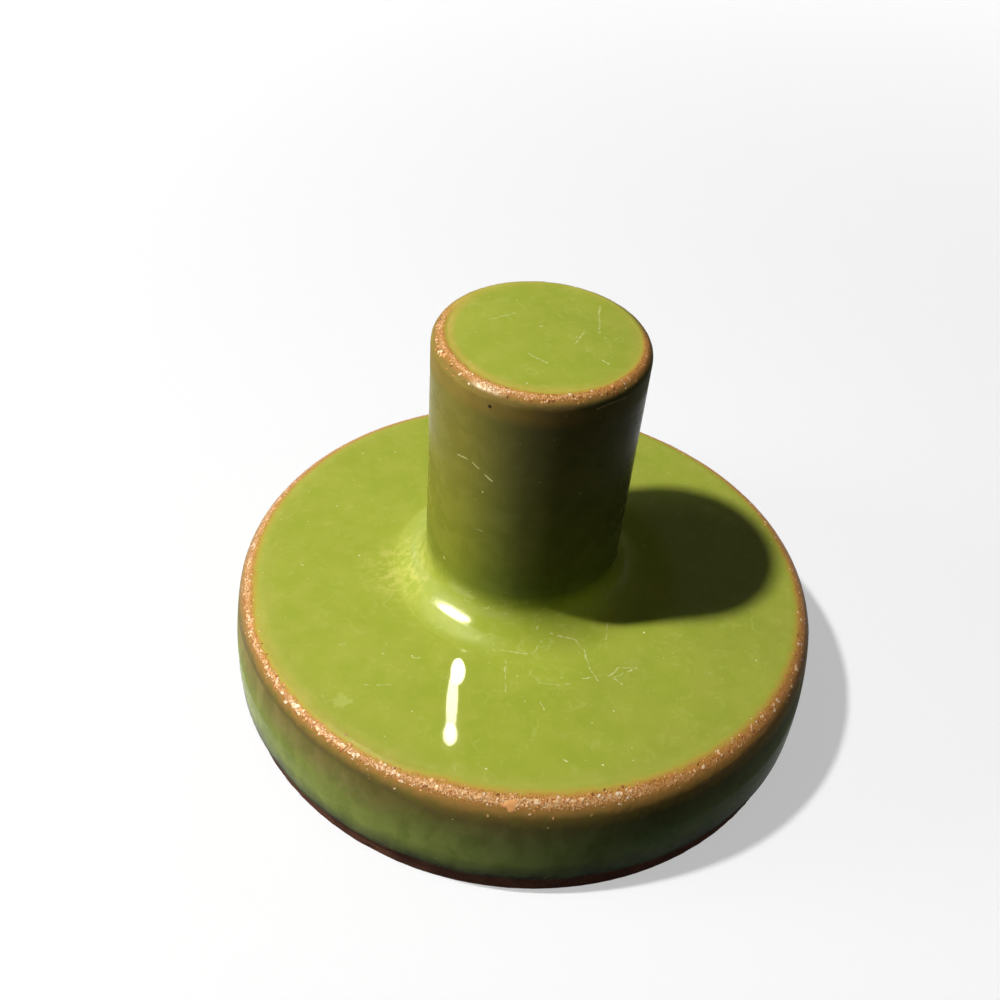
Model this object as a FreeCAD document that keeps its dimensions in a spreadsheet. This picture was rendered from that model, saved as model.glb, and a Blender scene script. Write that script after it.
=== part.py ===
import FreeCAD, Part
import math
import os
import Sketcher
from FreeCAD import Vector

# Glazed terracotta cookie stamp: a thick disc with a relief face underneath, a solid handle luted on top
# and one coat of glaze over both. Millimetres.
# Frame: origin at the centre of the stamping face, on the surface it rests on. +Z goes up the handle.

os.makedirs("parts", exist_ok=True)
doc = FreeCAD.newDocument("cookie_stamp")

# Driving dimensions
DIMENSIONS = {
    # glazed outside of the disc, whose side is one barrel-shaped arc
    "disc_height": "13.8",
    "belly_radius": "32.55",
    "belly_height": "4.6",
    "barrel_radius": "40.5",
    "rim_rounding": "2.55",
    # glazed outside of the handle, which stands a little off the disc's centre
    "handle_radius": "10.7",
    "total_height": "44.5",
    "handle_rounding": "1.35",
    "handle_shift_x": "-0.97",
    "handle_shift_y": "0.29",
    "foot_rounding": "4.2",
    # glaze: thin where it breaks over the edges, thick in the hollow round the handle
    "glaze_thickness": "0.35",
    "glaze_line": "2.2",
    "glaze_lip": "0.25",
    # clay edges under the glaze, and the bare edge at the base
    "clay_rim_rounding": "1.7",
    "clay_handle_rounding": "0.5",
    "clay_base_rounding": "0.2",
    # coil of clay pressed round the foot of the handle
    "coil_width": "3.4",
    "coil_curve": "4.2",
    # luted joint: slip between two faces scored with a square of crossing lines
    "slip_thickness": "0.5",
    "score_width": "0.8",
    "score_depth": "0.6",
    "score_span": "12.0",
    "score_count": "5",
    "handle_score_turn": "25",
    # stamping face: a rosette of petals round a button, inside a ring and a circle of beads
    "petal_depth": "1.8",
    "petal_draft": "-14",
    "petal_count": "8",
    "petal_start": "6.6",
    "petal_end": "20.8",
    "petal_curve": "9.2",
    "petal_rib": "0.9",
    "seed_radius": "1.2",
    "seed_circle": "19.6",
    "channel_radius": "0.7",
    "button_ring_radius": "4.0",
    "border_ring_radius": "23.2",
    "bead_radius": "1.4",
    "bead_circle": "26.9",
    "bead_count": "24",
    "dimple_rise": "0.3",
}

# Heights and radii of the clay under the glaze
CLAY_TOP = "disc_height - glaze_thickness"
CLAY_HANDLE_RADIUS = "handle_radius - glaze_thickness"
HANDLE_FOOT = CLAY_TOP + " + slip_thickness"
HANDLE_LENGTH = "total_height - disc_height - slip_thickness"

sheet = doc.addObject("Spreadsheet::Sheet", "dimensions")
for row, (alias, text) in enumerate(DIMENSIONS.items(), 1):
    sheet.set(f"A{row}", alias)
    sheet.set(f"B{row}", text)
    sheet.setAlias(f"B{row}", alias)
doc.recompute()


def cells(formula):
    """A formula with its aliases turned into cells of the sheet. Its terms are joined by + or -."""
    words = formula.split()
    return " ".join(f"dimensions.{w}" if w.split("*")[0] in DIMENSIONS else w for w in words)


def number(formula):
    """A formula's value, which places geometry near enough for the constraints to take over."""
    total = 0.0
    sign = 1
    for word in formula.split():
        if word in ("+", "-"):
            sign = 1 if word == "+" else -1
            continue
        name, _, factor = word.partition("*")
        value = float(sheet.get(name)) if name in DIMENSIONS else float(name)
        total += sign * value * float(factor or 1)
    return total


def new_body(label):
    """An empty body. Its label names its file."""
    body = doc.addObject("PartDesign::Body", label)
    body.Label = label
    return body


def origin_part(body, role):
    """One of the body's own origin planes or axes."""
    return [f for f in body.Origin.OriginFeatures if f.Role == role][0]


def shift(feature, **offsets):
    """Moves an attached feature by formulas for its own x, y, z or turn."""
    for direction, formula in offsets.items():
        place = "Rotation.Angle" if direction == "turn" else f"Base.{direction}"
        feature.setExpression(f"AttachmentOffset.{place}", cells(formula))


def new_sketch(body, name, plane, **offsets):
    """A sketch on one of the body's origin planes."""
    sketch = body.newObject("Sketcher::SketchObject", name)
    sketch.AttachmentSupport = (origin_part(body, plane), [""])
    sketch.MapMode = "FlatFace"
    shift(sketch, **offsets)
    return sketch


def bind(sketch, formula, kind, *where):
    """A dimensional constraint whose size is a formula of cells."""
    index = sketch.addConstraint(Sketcher.Constraint(kind, *where, number(formula)))
    sketch.setExpression(f"Constraints[{index}]", cells(formula))


def outline(sketch, *corners, bow=None):
    """A closed outline of straight sides through corners, each a pair of formulas for x and y.
    With bow, a radius formula, the last side is an arc that bows to the left of its way."""
    points = [Vector(number(x), number(y), 0) for x, y in corners]
    shapes = [Part.LineSegment(start, end) for start, end in zip(points, points[1:] + points[:1])]
    starts = [1] * len(shapes)
    if bow:
        shapes[-1] = arc_between(points[-1], points[0], number(bow))
        starts[-1] = 2
    sides = [sketch.addGeometry(shape, False) for shape in shapes]
    for i, side in enumerate(sides):
        following = (i + 1) % len(sides)
        ends = (side, 3 - starts[i], sides[following], starts[following])
        sketch.addConstraint(Sketcher.Constraint("Coincident", *ends))
    for side, start, (x, y) in zip(sides, starts, corners):
        bind(sketch, x, "DistanceX", side, start)
        bind(sketch, y, "DistanceY", side, start)
    if bow:
        bind(sketch, bow, "Radius", sides[-1])


def arc_between(start, end, radius):
    """The short arc from end to start that bows to the left of the way from start to end."""
    middle = (start + end) * 0.5
    along = end - start
    to_left = Vector(-along.y, along.x, 0).normalize()
    centre = middle - to_left * math.sqrt(radius**2 - (along.Length / 2) ** 2)
    angles = [math.atan2(p.y - centre.y, p.x - centre.x) for p in (end, start)]
    return Part.ArcOfCircle(Part.Circle(centre, Vector(0, 0, 1), radius), *angles)


def circle(sketch, radius, x, y):
    """A circle with its radius and centre bound."""
    centre = Vector(number(x), number(y), 0)
    ring = sketch.addGeometry(Part.Circle(centre, Vector(0, 0, 1), number(radius)), False)
    bind(sketch, radius, "Radius", ring)
    bind(sketch, x, "DistanceX", ring, 3)
    bind(sketch, y, "DistanceY", ring, 3)


def turned(body, kind, name, profile):
    """A full turn of a sketch about its own upright axis."""
    made = body.newObject("PartDesign::" + kind, name)
    made.Profile = profile
    made.ReferenceAxis = (profile, ["V_Axis"])
    made.Angle = 360
    return made


def raised(body, kind, name, profile, length, upward):
    """A pad that stands up or hangs down, or a pocket that cuts up or down, from its sketch."""
    made = body.newObject("PartDesign::" + kind, name)
    made.Profile = profile
    made.setExpression("Length", cells(length))
    made.Reversed = upward == (kind == "Pocket")
    return made


def rounded(body, name, base, radius, ring_radius, height):
    """Rounds the circular edges of base that have this radius and height."""
    doc.recompute()
    names = []
    for index, edge in enumerate(base.Shape.Edges, 1):
        if isinstance(edge.Curve, Part.Circle):
            off = (edge.Curve.Radius - ring_radius, edge.Curve.Center.z - height)
            if max(map(abs, off)) < 0.01:
                names.append(f"Edge{index}")
    made = body.newObject("PartDesign::Fillet", name)
    made.Base = (base, names)
    made.setExpression("Radius", cells(radius))
    return made


def turned_disc(body, name, inset, bottom, top, base_rounding, rim_rounding):
    """The disc, with both its edges rounded. Its barrel-shaped side lies inset inside the glazed one."""
    low, high = number(bottom), number(top)
    centre = Vector(number("belly_radius - barrel_radius"), number("belly_height"), 0)
    barrel = number("barrel_radius - " + inset)
    rises = (low - centre.y, high - centre.y)
    low_radius, high_radius = (centre.x + math.sqrt(barrel**2 - rise**2) for rise in rises)
    angles = (math.asin(rise / barrel) for rise in rises)
    corners = [Vector(*place) for place in ((0, high), (0, low), (low_radius, low), (high_radius, high))]
    sketch = new_sketch(body, name + "_outline", "XZ_Plane")
    axis = sketch.addGeometry(Part.LineSegment(corners[0], corners[1]), False)
    base = sketch.addGeometry(Part.LineSegment(corners[1], corners[2]), False)
    barrel_arc = Part.ArcOfCircle(Part.Circle(centre, Vector(0, 0, 1), barrel), *angles)
    side = sketch.addGeometry(barrel_arc, False)
    lid = sketch.addGeometry(Part.LineSegment(corners[3], corners[0]), False)
    for first, second in ((axis, base), (base, side), (side, lid), (lid, axis)):
        sketch.addConstraint(Sketcher.Constraint("Coincident", first, 2, second, 1))
    for line in (base, lid):
        sketch.addConstraint(Sketcher.Constraint("Horizontal", line))
    sketch.addConstraint(Sketcher.Constraint("Vertical", axis))
    sketch.addConstraint(Sketcher.Constraint("PointOnObject", base, 1, -2))
    bind(sketch, bottom, "DistanceY", base, 1)
    bind(sketch, top, "DistanceY", axis, 1)
    bind(sketch, "belly_radius - barrel_radius", "DistanceX", side, 3)
    bind(sketch, "belly_height", "DistanceY", side, 3)
    bind(sketch, "barrel_radius - " + inset, "Radius", side)
    disc = turned(body, "Revolution", name, sketch)
    based = rounded(body, name + "_base", disc, base_rounding, low_radius, low)
    return rounded(body, name + "_rim", based, rim_rounding, high_radius, high)


def scored_lines(body, kind, upward, turn="0", **place):
    """A square of crossing lines, cut into a face or standing on it."""
    for quarter, name in (("0", "scores"), ("90", "cross_scores")):
        name = f"{body.Label}_{name}_{'up' if upward else 'down'}"
        sketch = new_sketch(body, name + "_line", "XY_Plane", turn=f"{turn} + {quarter}", **place)
        left, right = "score_span*-0.5 - score_width*0.5", "score_span*-0.5 + score_width*0.5"
        low, high = left, "score_span*0.5 + score_width*0.5"
        outline(sketch, (left, low), (right, low), (right, high), (left, high))
        line = raised(body, kind, name + "_first", sketch, "score_depth", upward)
        lines = body.newObject("PartDesign::LinearPattern", name)
        lines.Originals = [line]
        lines.Direction = (sketch, ["H_Axis"])
        lines.setExpression("Length", cells("score_span"))
        lines.setExpression("Occurrences", cells("score_count"))
        body.Tip = lines


def round_pattern(body, name, first, count):
    """Repeats a feature round the body's Z axis."""
    around = body.newObject("PartDesign::PolarPattern", name)
    around.Originals = [first]
    around.Axis = (origin_part(body, "Z_Axis"), [""])
    around.Angle = 360
    around.setExpression("Occurrences", cells(count))
    body.Tip = around


def dimples(body, name, radius, circle_radius, count, turn):
    """A circle of shallow round dimples in the stamping face, the first one turned off the Y axis."""
    ball = body.newObject("PartDesign::SubtractiveSphere", name + "_first")
    ball.setExpression("Radius", cells(radius))
    ball.AttachmentSupport = (origin_part(body, "XY_Plane"), [""])
    ball.MapMode = "FlatFace"
    angle = math.radians(turn)
    ball.setExpression("AttachmentOffset.Base.x", f"{cells(circle_radius)} * {math.sin(angle)}")
    ball.setExpression("AttachmentOffset.Base.y", f"{cells(circle_radius)} * {math.cos(angle)}")
    ball.setExpression("AttachmentOffset.Base.z", cells("0 - dimple_rise"))
    round_pattern(body, name, ball, count)


def channel(body, name, ring_radius):
    """A half-round channel round the stamping face."""
    sketch = new_sketch(body, name + "_section", "XZ_Plane")
    circle(sketch, "channel_radius", ring_radius, "0")
    turned(body, "Groove", name, sketch)


def petals(body):
    """Petals in the stamping face, each in two halves with a rib between, drafted to release dough."""
    sketch = new_sketch(body, "petal_outline", "XY_Plane")
    outline(sketch, ("petal_rib*0.5", "petal_start"), ("petal_rib*0.5", "petal_end"), bow="petal_curve")
    outline(sketch, ("petal_rib*-0.5", "petal_end"), ("petal_rib*-0.5", "petal_start"), bow="petal_curve")
    petal = raised(body, "Pocket", "first_petal", sketch, "petal_depth", upward=True)
    petal.setExpression("TaperAngle", cells("petal_draft"))
    round_pattern(body, "petals", petal, "petal_count")


def stamp_disc():
    """The terracotta disc, with its relief face below and the scored seat of the handle on top."""
    body = new_body("stamp_disc")
    roundings = ("clay_base_rounding", "clay_rim_rounding")
    turned_disc(body, "clay_disc", "glaze_thickness", "0", CLAY_TOP, *roundings)
    scored_lines(body, "Pocket", upward=False, x="handle_shift_x", y="handle_shift_y", z=CLAY_TOP)
    channel(body, "button_ring", "button_ring_radius")
    channel(body, "border_ring", "border_ring_radius")
    petals(body)
    dimples(body, "seeds", "seed_radius", "seed_circle", "petal_count", turn=180 / number("petal_count"))
    dimples(body, "beads", "bead_radius", "bead_circle", "bead_count", turn=0)
    return body


def over_handle(body, height):
    """Puts a piece that is modelled on its own axis where the handle stands, at a height."""
    body.setExpression("Placement.Base.x", cells("handle_shift_x"))
    body.setExpression("Placement.Base.y", cells("handle_shift_y"))
    body.setExpression("Placement.Base.z", cells(height))
    return body


def handle():
    """The solid clay handle, scored on its foot."""
    body = new_body("handle")
    sketch = new_sketch(body, "handle_section", "XY_Plane")
    circle(sketch, CLAY_HANDLE_RADIUS, "0", "0")
    cylinder = raised(body, "Pad", "clay_cylinder", sketch, HANDLE_LENGTH, upward=True)
    radius, length = number(CLAY_HANDLE_RADIUS), number(HANDLE_LENGTH)
    rounded(body, "clay_handle_top", cylinder, "clay_handle_rounding", radius, length)
    scored_lines(body, "Pocket", upward=True, turn="handle_score_turn")
    return over_handle(body, HANDLE_FOOT)


def slip_joint():
    """The fired layer of slip between disc and handle. It fills the scored lines of both."""
    body = new_body("slip_joint")
    sketch = new_sketch(body, "slip_section", "XY_Plane")
    circle(sketch, CLAY_HANDLE_RADIUS, "0", "0")
    raised(body, "Pad", "slip_layer", sketch, "slip_thickness", upward=True)
    scored_lines(body, "Pad", upward=False)
    scored_lines(body, "Pad", upward=True, turn="handle_score_turn", z="slip_thickness")
    return over_handle(body, CLAY_TOP)


def fillet_coil():
    """The coil of clay round the handle's foot, smoothed to a hollow curve."""
    body = new_body("fillet_coil")
    sketch = new_sketch(body, "coil_section", "XZ_Plane")
    outer = CLAY_HANDLE_RADIUS + " + coil_width"
    inner = CLAY_HANDLE_RADIUS
    outline(sketch, (inner, "coil_width"), (inner, "0"), (outer, "0"), bow="coil_curve")
    turned(body, "Revolution", "coil", sketch)
    return over_handle(body, CLAY_TOP)


def dipped_form():
    """The outside of the whole glazed stamp, down to the glaze line."""
    body = new_body("dipped_form")
    disc = turned_disc(body, "glazed_disc", "0", "glaze_line", "disc_height", "glaze_lip", "rim_rounding")
    sketch = new_sketch(body, "grip_section", "XY_Plane", z="belly_height")
    circle(sketch, "handle_radius", "handle_shift_x", "handle_shift_y")
    grip = raised(body, "Pad", "grip", sketch, "total_height - belly_height", upward=True)
    radius, foot, top = number("handle_radius"), number("disc_height"), number("total_height")
    hollow = rounded(body, "grip_foot", grip, "foot_rounding", radius, foot)
    rounded(body, "grip_top", hollow, "handle_rounding", radius, top)
    return body


def glaze_coat(*clay):
    """The glass skin: what the dipped form holds outside the clay."""
    form = doc.addObject("Part::MultiFuse", "clay_form")
    form.Shapes = list(clay)
    coat = doc.addObject("Part::Cut", "glaze_coat")
    coat.Base = dipped_form()
    coat.Tool = form
    coat.Label = "glaze_coat"
    return coat


def export(*nodes):
    """Checks every object of the document, then writes each sub-part."""
    doc.recompute()
    for item in doc.Objects:
        if {"Invalid", "Error"} & set(item.State):
            raise RuntimeError(f"{item.Name} is {item.State}")
    for node in nodes:
        if node.Shape.isNull() or not node.Shape.isValid():
            raise RuntimeError(f"{node.Label} has no valid shape")
        if len(node.Shape.Solids) != 1:
            raise RuntimeError(f"{node.Label} has {len(node.Shape.Solids)} solids")
    for node in nodes:
        node.Shape.exportStep(f"parts/{node.Label}.step")
        box = node.Shape.BoundBox
        spans = [round(v, 2) for v in (box.XMin, box.XMax, box.YMin, box.YMax, box.ZMin, box.ZMax)]
        print(f"{node.Label}: {node.Shape.Volume / 1000:.3f} cm3, {spans}")


clay_pieces = [stamp_disc(), handle(), slip_joint(), fillet_coil()]
export(*clay_pieces, glaze_coat(*clay_pieces))
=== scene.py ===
import math
from functools import reduce

import bpy
import numpy as np
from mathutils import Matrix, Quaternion, Vector, noise
from mathutils.bvhtree import BVHTree


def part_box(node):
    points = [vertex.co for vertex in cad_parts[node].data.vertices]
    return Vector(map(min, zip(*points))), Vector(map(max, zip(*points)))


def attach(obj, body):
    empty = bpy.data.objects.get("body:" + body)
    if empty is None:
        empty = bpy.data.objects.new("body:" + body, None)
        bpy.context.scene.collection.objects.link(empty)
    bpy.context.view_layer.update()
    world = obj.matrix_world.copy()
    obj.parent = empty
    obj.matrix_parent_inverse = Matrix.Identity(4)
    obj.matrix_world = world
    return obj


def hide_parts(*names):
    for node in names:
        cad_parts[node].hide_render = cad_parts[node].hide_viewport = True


# Glazed terracotta cookie stamp on a pale floor. Lengths are millimetres until a mesh, lamp or camera is
# made, and MM turns them into metres. Azimuths are in degrees round +Z from +X.

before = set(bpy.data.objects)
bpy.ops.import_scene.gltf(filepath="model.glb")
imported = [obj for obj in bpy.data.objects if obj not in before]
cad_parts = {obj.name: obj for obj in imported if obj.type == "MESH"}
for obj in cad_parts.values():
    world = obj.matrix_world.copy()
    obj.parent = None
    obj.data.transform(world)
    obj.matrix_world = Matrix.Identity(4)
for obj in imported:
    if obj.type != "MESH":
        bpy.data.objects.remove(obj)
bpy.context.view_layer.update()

MM = 0.001


def node_span(name):
    """Lowest and highest corner of a CAD node, in millimetres."""
    return [np.array(corner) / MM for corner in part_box(name)]


# Sizes read from the frame
GLAZE_LOW, GLAZE_HIGH = node_span("glaze_coat")
CLAY_HIGH = node_span("stamp_disc")[1]
CORE_LOW, CORE_HIGH = node_span("handle")
BELLY_RADIUS = (GLAZE_HIGH[0] - GLAZE_LOW[0]) / 2
GLAZE_LINE = GLAZE_LOW[2]
TOTAL_HEIGHT = GLAZE_HIGH[2]
CLAY_TOP = CLAY_HIGH[2]
COAT = TOTAL_HEIGHT - CORE_HIGH[2]
DISC_TOP = CLAY_TOP + COAT
GRIP_AXIS = (CORE_LOW[:2] + CORE_HIGH[:2]) / 2
CORE_RADIUS = (CORE_HIGH[0] - CORE_LOW[0]) / 2
GRIP_RADIUS = CORE_RADIUS + COAT

# Roundings, curves and gaps of the outline, which the frame doesn't tell
BELLY_HEIGHT = 4.6
BARREL_RADIUS = 40.5
RIM_ROUNDING = 2.55
CLAY_RIM_ROUNDING = 1.7
CLAY_BASE_ROUNDING = 0.2
FOOT_ROUNDING = 4.2
GRIP_ROUNDING = 1.35
CORE_ROUNDING = 0.5
LIP_ROUNDING = 0.3
GRIP_FLARE = 0.14
SKIN_GAP = 0.02
BARE_BAND_TOP = 4.0
SIDE_SPECKS_FROM = 10.2
GRIP_SPECKS_FROM = 41.6

# Points round a ring
FINE, MEDIUM, COARSE, PLAIN = 1200, 600, 300, 150


def smooth(value, low, high):
    """Rises from 0 at low to 1 at high with soft ends."""
    share = np.clip((value - low) / (high - low), 0, 1)
    return share * share * (3 - 2 * share)


def wobble(points, size, octaves, seed):
    """Soft noise of about -1 to 1 at each point, with features of the given size."""
    offset = Vector((seed * 7.3, seed * 3.1, seed * 5.7))
    return np.array([noise.fractal(Vector(p) / size + offset, 1.0, 2.0, octaves) for p in points])


def around(angle, size, seed):
    """Soft noise round the disc's edge, with features of the given length. Angles are in radians."""
    return wobble(ring_points(BELLY_RADIUS / size, 0.0, angle), 1.0, 2, seed)


# Outlines: rows of radius, height and outward normal

def arc(centre, radius, start, end, step, hollow=False):
    """Rows along an arc. Angles are from the outward direction, and a hollow arc faces its own centre."""
    count = max(1, round(math.radians(abs(end - start)) * radius / step))
    angles = np.radians(np.linspace(start, end, count + 1))
    away = np.stack([np.cos(angles), np.sin(angles)], 1)
    return np.hstack([np.array(centre) + radius * away, -away if hollow else away])


def line(start, end, step):
    """Rows along a straight stretch, with the object on the left of the way."""
    start, end = np.array(start, float), np.array(end, float)
    length = np.linalg.norm(end - start)
    count = max(1, round(length / step))
    along = (end - start) / length
    points = start + np.outer(np.linspace(0, 1, count + 1), end - start)
    return np.hstack([points, np.tile([along[1], -along[0]], (count + 1, 1))])


def barrel_radius_at(height, inset=0.0):
    """Radius of the disc's barrel-shaped side at a height."""
    return BELLY_RADIUS - BARREL_RADIUS + np.sqrt((BARREL_RADIUS - inset) ** 2 - (height - BELLY_HEIGHT) ** 2)


def barrel_angle(height):
    """Where a height lies on the barrel's arc, in degrees."""
    return math.degrees(math.asin((height - BELLY_HEIGHT) / BARREL_RADIUS))


def rim_centre(rounding, top, inset=0.0):
    """Centre of the rounding between the barrel side and a flat top, and the angle at its lower end."""
    height = top - rounding
    radius = barrel_radius_at(height, inset + rounding)
    angle = math.atan2(height - BELLY_HEIGHT, radius - BELLY_RADIUS + BARREL_RADIUS)
    return (radius, height), math.degrees(angle)


BARREL_CENTRE = (BELLY_RADIUS - BARREL_RADIUS, BELLY_HEIGHT)
CLAY_BARREL_RADIUS = BARREL_RADIUS - COAT
RIM, RIM_START = rim_centre(RIM_ROUNDING, DISC_TOP)
CLAY_RIM, CLAY_RIM_START = rim_centre(CLAY_RIM_ROUNDING, CLAY_TOP, COAT)
FOOT = (GRIP_RADIUS + FOOT_ROUNDING, DISC_TOP + FOOT_ROUNDING)
GRIP_RIM = (GRIP_RADIUS - GRIP_ROUNDING, TOTAL_HEIGHT - GRIP_ROUNDING)


def grip_flare(height):
    """How far the handle's side stands out from its usual radius. It widens a little towards the top."""
    climb = np.clip((height - FOOT[1]) / (TOTAL_HEIGHT - FOOT[1]), 0, 1)
    return GRIP_FLARE * (1.7 * climb - 1) * smooth(height, FOOT[1] - 3, FOOT[1])


def new_object(name, data):
    """A new object in the scene."""
    made = bpy.data.objects.new(name, data)
    bpy.context.scene.collection.objects.link(made)
    return made


class Skin:
    """Rings of points that become one closed mesh, with named values at each point."""

    def __init__(self):
        self.rings = []
        self.values = []

    def add(self, points, **values):
        """One more ring. A value left out is 0."""
        self.rings.append(np.asarray(points, float))
        self.values.append(values)

    def faces_between(self, lower, upper, starts):
        """Faces between two rings, one of which may have a whole multiple of the other's points."""
        low, high = len(self.rings[lower]), len(self.rings[upper])
        a, b = starts[lower], starts[upper]
        if low == high:
            return [(a + i, a + (i + 1) % low, b + (i + 1) % low, b + i) for i in range(low)]
        few, many = min(low, high), max(low, high)
        sparse, dense = (b, a) if low > high else (a, b)
        share = many // few
        faces = []
        for i in range(few):
            start, end = sparse + i, sparse + (i + 1) % few
            stretch = [dense + (i * share + k) % many for k in range(share + 1)]
            for k in range(share):
                faces.append((start if k < share // 2 else end, stretch[k], stretch[k + 1]))
            faces.append((start, stretch[share // 2], end))
        return faces if low > high else [(first, third, second) for first, second, third in faces]

    def build(self, name, *value_names):
        """The closed mesh object, in metres. The first and the last ring each close to a point."""
        starts = [int(start) for start in np.cumsum([0] + [len(ring) for ring in self.rings])]
        points = np.vstack(self.rings + [self.rings[0].mean(0), self.rings[-1].mean(0)])
        first, last = starts[-1], starts[-1] + 1
        faces = []
        for i in range(len(self.rings) - 1):
            faces += self.faces_between(i, i + 1, starts)
        count = len(self.rings[0])
        faces += [(first, (i + 1) % count, i) for i in range(count)]
        count = len(self.rings[-1])
        faces += [(last, starts[-2] + i, starts[-2] + (i + 1) % count) for i in range(count)]
        mesh = bpy.data.meshes.new(name)
        mesh.from_pydata((points * MM).tolist(), [], faces)
        mesh.shade_smooth()
        for value_name in value_names:
            spread = [np.broadcast_to(values.get(value_name, 0.0), len(ring))
                      for ring, values in zip(self.rings, self.values)]
            ends = [spread[0].mean(), spread[-1].mean()]
            attribute = mesh.attributes.new(value_name, "FLOAT", "POINT")
            attribute.data.foreach_set("value", np.hstack(spread + [ends]).astype(np.float32))
        return new_object(name, mesh)


def azimuths(segments):
    """Angles of a ring's points, in radians."""
    return np.arange(segments) * 2 * math.pi / segments


def ring_points(radius, height, angle, shift=0.0):
    """Points of a ring whose centre lies between the disc's axis, shift 0, and the handle's, shift 1. A
    normal's outward and upward shares, in place of radius and height, give the directions there."""
    centre = GRIP_AXIS * shift
    height = np.broadcast_to(height, angle.shape)
    return np.stack([centre[0] + radius * np.cos(angle), centre[1] + radius * np.sin(angle), height], 1)


# Burst bubbles and crumbs along the two worn edges

class Edge:
    """Rings with equal counts that carry specks. along holds each ring's place across the edge."""

    def __init__(self, along, radius, segments):
        self.along = along
        self.radius = radius
        self.segments = segments
        self.speck = np.zeros((len(along), segments))
        self.tone = np.zeros_like(self.speck)
        self.lift = np.zeros_like(self.speck)

    def mark(self, azimuth, along, size, tone, height, lobes):
        """One speck: a lobed blob that stands up, or a crater where height is negative."""
        rows = np.nonzero(np.abs(self.along - along) < size * 1.3)[0]
        if not len(rows):
            return
        pitch = 2 * math.pi / self.segments
        reach = int(size * 1.3 / (self.radius[rows].min() * pitch)) + 1
        middle = round(azimuth / pitch)
        steps = np.arange(middle - reach, middle + reach + 1)
        across = (steps * pitch - azimuth)[None, :] * self.radius[rows][:, None]
        down = (self.along[rows] - along)[:, None] + 0 * across
        turn = np.arctan2(down, across)
        bulge = 1 + 0.22 * np.sin(lobes * turn + tone * 40) + 0.12 * np.sin((lobes + 2) * turn - tone * 90)
        near = 1 - np.hypot(across, down) / (size * bulge)
        block = np.ix_(rows, steps % self.segments)
        stronger = near > self.speck[block]
        self.speck[block] = np.where(stronger, near, self.speck[block])
        self.tone[block] = np.where(stronger, tone, self.tone[block])
        dome = smooth(near, 0.0, 0.7)
        crater = smooth(near, 0.0, 0.3) - 2.2 * smooth(near, 0.3, 0.8)
        shape = height * dome if height > 0 else -height * crater
        self.lift[block] += np.where(near > 0, shape, 0)


CRATER_SHARE = 0.35


def scatter(edge, rng, count, middle, spread, sizes, heights, density):
    """Specks at random places about the middle of an edge, kept where density allows. Both are functions of
    the azimuth."""
    for _ in range(count):
        azimuth = rng.uniform(0, 2 * math.pi)
        along = middle(azimuth) + rng.normal(0, spread)
        chance = rng.uniform()
        size = sizes[0] + (sizes[1] - sizes[0]) * rng.uniform() ** 2.2
        tone = rng.uniform() ** 0.8
        height = rng.uniform(*heights)
        lobes = int(rng.integers(2, 5))
        crater = rng.uniform() < CRATER_SHARE
        if chance < density(azimuth):
            edge.mark(azimuth, along, size, tone, -height if crater else height, lobes)


def nearness(azimuth, middle, width):
    """1 at a middle azimuth, falling to 0 at width away, both in degrees. The azimuth is in radians."""
    away = abs((math.degrees(azimuth) - middle + 180) % 360 - 180)
    return max(0.0, 1 - away / width)


def patches(azimuth, count, seed):
    """Soft noise from 0 to 1 round an edge."""
    return 0.5 + 0.5 * noise.noise(Vector((math.cos(azimuth) * count, math.sin(azimuth) * count, seed)))


# Larger specks of the disc's front edge: azimuth, tilt from the top in degrees, radius in mm, tone
RIM_SPECKS = [
    (-19, 42, 0.42, 0.62), (-23.5, 49.5, 0.28, 0.7), (-30.5, 34.5, 0.26, 0.6), (-34.5, 30, 0.24, 0.75),
    (-52, 39, 0.3, 0.72), (-54, 37.5, 0.24, 0.6), (-67, 33, 0.26, 0.66), (-69.5, 33, 0.3, 0.8),
    (-76, 34.5, 0.34, 0.64), (-80.5, 34.5, 0.26, 0.74), (-84, 34.5, 0.34, 0.66), (-88.5, 48, 0.8, 0.44),
    (-85, 64.5, 0.2, 0.7), (-81, 73.5, 0.18, 0.6), (-65.5, 46.5, 0.2, 0.58), (-92, 78, 0.2, 0.66),
]


def disc_specks(edge, end, rng):
    """Raised specks on the disc's rim: thick at the front left, thin at the right and behind."""
    def density(azimuth):
        return (0.22 + 0.78 * nearness(azimuth, -135, 80)) * (0.45 + 0.8 * patches(azimuth, 9, 2))

    def crest(azimuth):
        return end - 1.4 - 0.5 * min(1.0, 2 * nearness(azimuth, -132, 60))

    scatter(edge, rng, 2100, crest, 0.26, (0.10, 0.24), (0.012, 0.04), density)
    scatter(edge, rng, 200, lambda azimuth: end - 2.3, 0.6, (0.10, 0.17), (0.01, 0.03), density)
    for azimuth, tilt, size, tone in RIM_SPECKS:
        edge.mark(math.radians(azimuth), end - math.radians(tilt) * RIM_ROUNDING, size, tone, 0.05, 3)


def grip_specks(edge, end, rng):
    """Raised specks on the handle's top edge: few at the back."""
    def density(azimuth):
        front = min(1.0, 1.6 * nearness(azimuth, -110, 130))
        return (0.1 + 0.9 * front) * (0.4 + 0.8 * patches(azimuth, 5, 5))

    scatter(edge, rng, 360, lambda azimuth: end - 0.95, 0.2, (0.09, 0.2), (0.01, 0.03), density)


def line_drop(angle):
    """How far the glaze line strays from its usual height. It hangs lower at the left than at the front."""
    left = np.maximum(0, np.cos(angle - math.radians(168))) ** 2
    front = np.maximum(0, np.cos(angle - math.radians(-70)))
    return 0.22 * around(angle, 9, 4) + 0.07 * around(angle, 2.2, 5) - 0.75 * left + 0.35 * front


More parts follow.
